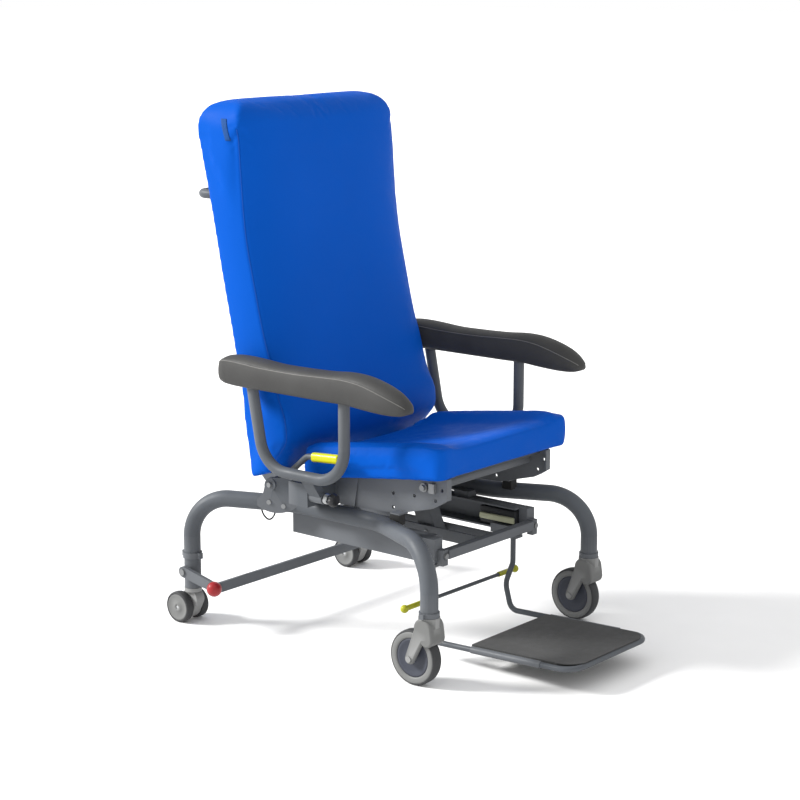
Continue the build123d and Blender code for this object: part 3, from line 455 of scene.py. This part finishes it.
steps = np.concatenate([np.linspace(0, 0.94, 56), np.linspace(0.946, 1.0, 22)])
rings = [[back_point(t, u, v) for u, v in ring_uv(36, 10)] for t in steps]
back_cushion = piece("back_upholstery", *loft(rings), "blue_vinyl", "back", "blue_vinyl")
stuff(back_cushion, 0.0055, 8, 0.004)
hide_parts("back_cushion")

# ---------------------------------------------------------------- seat cushion
tilt = math.radians(7.9)
seat_front = (-232.0, 443.8)
# distance from the front, depth of the dish, drop of the top surface
seat_levels = [
    (4, 10, 7), (25, 12, 3), (60, 16, 0), (110, 20, 0), (200, 23, 0), (320, 23, 1), (405, 20, 3),
]
half_seat = 238.0
seat_length = 410.0
seat_height = 78.0
seat_corner = 24.0
seat_side_crown = 2.5
seat_nose = 3.0
seat_rear_lean = 20.0


def seat_point(s, u, w):
    """A point of the seat: s from the front, u across from -1 to 1, w from the base 0 to the top 1."""
    dish, drop = interpolate(seat_levels, s)
    half = half_seat
    if s < seat_corner:
        half -= seat_corner - math.sqrt(max(seat_corner**2 - (seat_corner - s) ** 2, 0.0))
    x = u * (half + seat_side_crown * 4 * w * (1 - w))
    inner = smoothstep((212 - abs(x)) / 52)
    deeper = 1 + 0.18 * (1 - (x / 170) ** 2) * (abs(x) < 170)
    height = w * (seat_height - drop - dish * inner * deeper)
    lean = seat_rear_lean * w * smoothstep((s - 300) / 100)
    along = s - lean - seat_nose * 4 * w * (1 - w) * (1 - smoothstep(s / 40))
    y = seat_front[0] + along * math.cos(tilt) + height * math.sin(tilt)
    z = seat_front[1] + 1.0 - along * math.sin(tilt) + height * math.cos(tilt)
    y -= height * math.sin(tilt) * (1 - smoothstep(s / 60))
    return (x * mm, y * mm, z * mm)


steps = np.concatenate([np.linspace(1.0, seat_corner, 10), np.linspace(30, seat_length, 60)])
loop = [(-1 + 2 * i / 48, 1.0) for i in range(48)] + [(1.0, 1 - i / 12) for i in range(12)]
loop += [(1 - 2 * i / 48, 0.0) for i in range(48)] + [(-1.0, i / 12) for i in range(12)]
rings = [[seat_point(s, u, w) for u, w in loop] for s in steps]
seat_cushion = piece("seat_upholstery", *loft(rings), "blue_vinyl", "seat", "blue_vinyl")
stuff(seat_cushion, 0.005, 9, 0.003)
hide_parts("seat_cushion")

# ---------------------------------------------------------------- arm pads
# y, crown z, crease z, underside z, half width
pad_levels = [
    (-216, 615, 612, 608, 6), (-212, 622, 615, 604, 14), (-203, 632, 621, 600, 21), (-190, 642, 627, 598, 26),
    (-163, 655, 637, 597, 31), (-130, 665, 647, 598, 33), (-95, 672, 655, 600, 33), (-58, 674, 659, 603, 33),
    (14, 669, 658, 603, 33), (91, 667, 655, 603, 33), (163, 667, 655, 603, 33), (212, 671, 656, 603, 33),
    (259, 673, 659, 603, 33), (300, 671, 660, 604, 32), (322, 666, 658, 607, 29), (336, 655, 651, 614, 22),
    (342, 643, 640, 624, 12),
]


def pad_ring(y):
    """Section of an arm pad at y: crowned top, creased edges, full sides and flat underside."""
    crown, crease, under, half = interpolate(pad_levels, y)
    height = crease - under
    right = [
        (0.0, crown), (0.35, crown - 0.08 * (crown - crease)), (0.62, crown - 0.35 * (crown - crease)),
        (0.80, crease + 0.28 * (crown - crease)), (0.845, crease + 0.05 * (crown - crease)),
        (0.87, crease - 0.03 * height), (0.93, crease - 0.16 * height), (1.0, crease - 0.42 * height),
        (0.985, crease - 0.68 * height), (0.90, crease - 0.88 * height), (0.74, crease - 0.985 * height),
        (0.40, under),
    ]
    left = [(-a, b) for a, b in right[:0:-1]]
    return [(half * a, b) for a, b in right + [(0.0, under)] + left]


pad_x = 318.0


def arm_pad(side, sign):
    """Moulded arm pad with a thin raised bead of lighter grey along each top edge, a painted highlight of the
    crease.
    """
    ys = np.concatenate([np.linspace(-216, -170, 12), np.linspace(-160, 300, 40), np.linspace(306, 342, 10)])
    rings = [[((pad_x * sign + a) * mm, y * mm, b * mm) for a, b in pad_ring(y)] for y in ys]
    pad = piece(f"arm_pad_{side}", *loft(rings), "arm_pad", f"armrest_{side}", "arm_pad")
    refine = pad.modifiers.new("refine", "SUBSURF")
    refine.levels = 2
    refine.render_levels = 2
    apply_modifiers(pad)
    for polygon in pad.data.polygons:
        polygon.use_smooth = True
    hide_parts(f"armrest_pad_{side}")
    tree = skin_tree(pad)
    for edge in (-1, 1):
        line = []
        for y in np.linspace(-210, 334, 90):
            _, crease, _, half = interpolate(pad_levels, y)
            guess = Vector(((pad_x * sign + edge * half * 0.855) * mm, y * mm, crease * mm))
            line.append(tree.find_nearest(guess)[0])
        # The lighter bead paints the highlight along each crease.
        vertices, faces = tube_mesh(line, 0.0011)
        piece(f"arm_highlight_bead_{side}_{'outer' if edge == sign else 'inner'}", vertices, faces, "bead_highlight",
              f"armrest_{side}", "arm_pad")


for side, sign in (("left", 1), ("right", -1)):
    arm_pad(side, sign)

# ---------------------------------------------------------------- seams, thread and tag of the upholstery
def back_seam(name, across, through, low, high):
    """A pressed seam with its thread, up the back at one place across and through it."""
    route = [back_point(t, across, through) for t in np.linspace(low, high, 160)]
    line = sew(back_cushion, route, 0.0012, 0.006)
    piece(name, *tube_mesh(line, 0.0008), "blue_thread", "back", "blue_vinyl")


for side, sign in (("right", -1), ("left", 1)):
    back_seam(f"back_seam_{side}", sign, 0.02, 0.02, 0.955)
for side, sign in (("right", -1), ("left", 1)):
    back_seam(f"back_rear_seam_{side}", sign * 0.86, 1.0, 0.06, 0.94)

tree = skin_tree(back_cushion)
tag_rows, tag_columns = 12, 6
grid = []
for i in range(tag_rows + 1):
    up = i / tag_rows
    for j in range(tag_columns + 1):
        z = (1147 + 48 * up) * mm
        y = (351 + 17 * up + (14 + 3 * up) * j / tag_columns) * mm
        hit = tree.ray_cast(Vector((-0.40, y, z)), Vector((1, 0, 0)))[0]
        grid.append(Vector((hit.x - 0.0007, y, z)))
row = tag_columns + 1
faces = [(i * row + j, i * row + j + 1, i * row + j + row + 1, i * row + j + row)
         for i in range(tag_rows) for j in range(tag_columns)]
tag = piece("side_tag", grid, faces, "tag_fabric", "back", "tag_fabric")
thick = tag.modifiers.new("thick", "SOLIDIFY")
thick.thickness = 0.0008
thick.offset = 0
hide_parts("back_tag")

# ---------------------------------------------------------------- push bar
def bent_path(corners, steps=10):
    """A path that leaves each run at its middle and curves past the corner to the next run's middle."""
    corners = [Vector(c) for c in corners]
    path = [corners[0], (corners[0] + corners[1]) / 2]
    for before, corner, after in zip(corners, corners[1:], corners[2:]):
        start, end = (before + corner) / 2, (corner + after) / 2
        for i in range(1, steps + 1):
            t = i / steps
            path.append(start * (1 - t) ** 2 + corner * 2 * t * (1 - t) + end * t**2)
    return path + [corners[-1]]


push_z = 1.010
push_side = [(0.168, 0.456), (0.172, 0.470), (0.190, 0.484), (0.190, 0.537), (0.134, 0.537)]
push_route = [(x, y, push_z) for x, y in push_side] + [(-x, y, push_z) for x, y in reversed(push_side)]
push_skin = tube_mesh(bent_path(push_route), 0.011, 24)
push_tube = piece("push_tube", *push_skin, "frame_paint", "back", "frame_paint")
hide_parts("push_bar")

# ---------------------------------------------------------------- wheels
# profiles of (x from the wheel's middle, radius)
front_tyre = [(-13, 57.2), (-14.3, 58.2), (-13.2, 60.2), (-10, 61.6), (-6, 62.3), (0, 62.5), (6, 62.3),
              (10, 61.6), (13.2, 60.2), (14.3, 58.2), (13, 57.2)]
front_rim = [(-11, 43.5), (-13.2, 44.5), (-14.2, 47), (-14.6, 51), (-14.4, 55), (-13.8, 57.4), (-12, 58),
             (12, 58), (13.8, 57.4), (14.4, 55), (14.6, 51), (14.2, 47), (13.2, 44.5), (11, 43.5)]
front_disc = [(-8, 4.4), (-13, 4.4), (-13, 13), (-10.5, 15), (-9, 22), (-9.5, 33), (-11.5, 38), (-11.8, 44),
              (11.8, 44), (11.5, 38), (9.5, 33), (9, 22), (10.5, 15), (13, 13), (13, 4.4), (8, 4.4)]
rear_tyre = [(-8.5, 30.5), (-10.4, 31.6), (-10.8, 34), (-8.8, 36.5), (-4, 37.4), (0, 37.5), (4, 37.4),
             (8.8, 36.5), (10.8, 34), (10.4, 31.6), (8.5, 30.5)]
rear_disc = [(-8, 4.3), (-9.8, 4.3), (-10.2, 10), (-8.6, 12), (-8.4, 22), (-9.4, 28), (-10.4, 30),
             (-9.8, 31.4), (9.8, 31.4), (10.4, 30), (9.4, 28), (8.4, 22), (8.6, 12), (10.2, 10), (9.8, 4.3),
             (8, 4.3)]
twin_offset = 25.0


def turned(name, node, shift, profile, look, body, slot):
    """A turned part about the middle of a node's box, moved along X by shift millimetres."""
    lo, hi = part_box(node)
    centre = (lo + hi) / 2
    centre.x += shift * mm
    return lathe_x(name, centre, [(x * mm, r * mm) for x, r in profile], look, body, slot)


for side in ("left", "right"):
    node, body = f"front_tyre_{side}", f"front_wheel_{side}"
    # The tread takes the dark tyre finish, painted shade on the tread, while the side ring takes the lighter
    # rim finish.
    tread = turned(f"front_tread_{side}", node, 0.0, front_tyre, "tyre", body, "tyre")
    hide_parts(node)
    turned(f"front_rim_{side}", node, 0.0, front_rim, "rim_plastic", body, "castor_plastic")
    disc = turned(f"front_disc_{side}", node, 0.0, front_disc, "hub_plastic", body, "hub_plastic")
    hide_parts(f"front_hub_{side}")
    node, body = f"rear_wheels_{side}", f"rear_wheel_{side}"
    for k, shift in enumerate((-twin_offset, twin_offset)):
        # Each rear tread also takes the dark tyre finish, painted shade on the tread.
        tread = turned(f"rear_tread_{side}_{k}", node, shift, rear_tyre, "tyre", body, "tyre")
        turned(f"rear_disc_{side}_{k}", node, shift, rear_disc, "rim_plastic", body, "castor_plastic")
        if k == 0:
            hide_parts(node)

# ---------------------------------------------------------------- release cable
route = [(-196, 304, 325), (-196, 322, 323), (-197, 338, 308), (-198, 344, 286), (-198, 338, 265),
         (-197, 320, 253), (-196, 304, 264), (-196, 296, 287), (-196, 295, 312)]
curve = bpy.data.curves.new("release_cable", "CURVE")
curve.dimensions = "3D"
spline = curve.splines.new("NURBS")
spline.points.add(len(route) - 1)
for point, p in zip(spline.points, route):
    point.co = (p[0] * mm, p[1] * mm, p[2] * mm, 1.0)
spline.order_u = 3
spline.use_endpoint_u = True
spline.resolution_u = 12
curve.bevel_depth = 0.002
curve.bevel_resolution = 4
curve.use_fill_caps = True
curve.materials.append(looks["cable_black"])
cable = bpy.data.objects.new("cable_outer", curve)
bpy.context.collection.objects.link(cable)
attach(cable, "base")
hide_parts("release_cable")

# ---------------------------------------------------------------- springs behind the locking knobs
spring_turns = 4
points_per_turn = 24
spring_radius = 0.0108
spring_length = 0.011
for side, sign in (("left", 1), ("right", -1)):
    turns = []
    for i in range(spring_turns * points_per_turn + 1):
        a = 2 * math.pi * i / points_per_turn
        y = 0.0525 + spring_length * i / (spring_turns * points_per_turn)
        turns.append((sign * (0.280 + spring_radius * math.cos(a)), y, 0.366 + spring_radius * math.sin(a)))
    piece(f"knob_spring_{side}", *tube_mesh(turns, 0.0011), "zinc_steel", "seat", "zinc_steel")

# ---------------------------------------------------------------- slide blocks: dark body, cream nose
def rounded_bar(name, low, high, radius, look, body, slot):
    """A block along Y with rounded long edges and ends, low and high being its corners."""
    cx, cz = (low[0] + high[0]) / 2, (low[2] + high[2]) / 2
    hx, hz = (high[0] - low[0]) / 2, (high[2] - low[2]) / 2
    start, end = low[1], high[1]
    rings = []
    for y, inset in ((start, radius), (start + 0.3 * radius, 0.3 * radius), (start + radius, 0.0),
                     (end - radius, 0.0), (end - 0.3 * radius, 0.3 * radius), (end, radius)):
        ring = []
        for k in range(32):
            a = 2 * math.pi * (k + 0.5) / 32
            ca, sa = math.cos(a), math.sin(a)
            ring.append((cx + (hx - radius) * math.copysign(1, ca) + (radius - inset) * ca, y,
                         cz + (hz - radius) * math.copysign(1, sa) + (radius - inset) * sa))
        rings.append(ring)
    return piece(name, *loft(rings), look, body, slot)


for side, sign in (("left", 1), ("right", -1)):
    xs = sorted((sign * 0.1462, sign * 0.1803))
    block = rounded_bar(f"slide_body_{side}", (xs[0], -0.147, 0.2432), (xs[1], -0.044, 0.2838), 0.003,
                        "dark_plastic", "footrest", "cream_plastic")
    xs = sorted((sign * 0.1405, sign * 0.1475))
    rounded_bar(f"slide_nose_{side}", (xs[0], -0.147, 0.2535), (xs[1], -0.045, 0.2685), 0.0033,
                "cream_plastic", "footrest", "cream_plastic")
    if sign > 0:
        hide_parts("slide_blocks")

# ---------------------------------------------------------------- fluted locking knobs
# y and radius of the knob from its rear end to its face, and its axis
knob_profile = [(50, 5.9), (46.2, 6), (46, 12), (45, 14.6), (42.5, 15.8), (38, 15.8), (34.5, 14.8),
                (32.6, 12.5), (32, 9), (33, 6.5), (33.4, 3)]
knob_x, knob_z = 280.0, 366.0
flutes = 10


def knob_ring(axis_x, y, r):
    """A ring of the knob, fluted where it is wide."""
    depth = 0.045 * smoothstep((r - 11) / 3)
    ring = []
    for k in range(120):
        a = 2 * math.pi * k / 120
        reach = r * (1 + depth * (math.cos(flutes * a) - 1))
        ring.append(((axis_x + reach * math.cos(a)) * mm, y * mm, (knob_z + reach * math.sin(a)) * mm))
    return ring


for side, sign in (("left", 1), ("right", -1)):
    rings = [knob_ring(sign * knob_x, y, r) for y, r in knob_profile]
    knob = piece(f"fluted_knob_{side}", *loft(rings), "black_plastic", f"knob_{side}", "black_plastic")
    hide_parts(f"lock_knob_{side}")
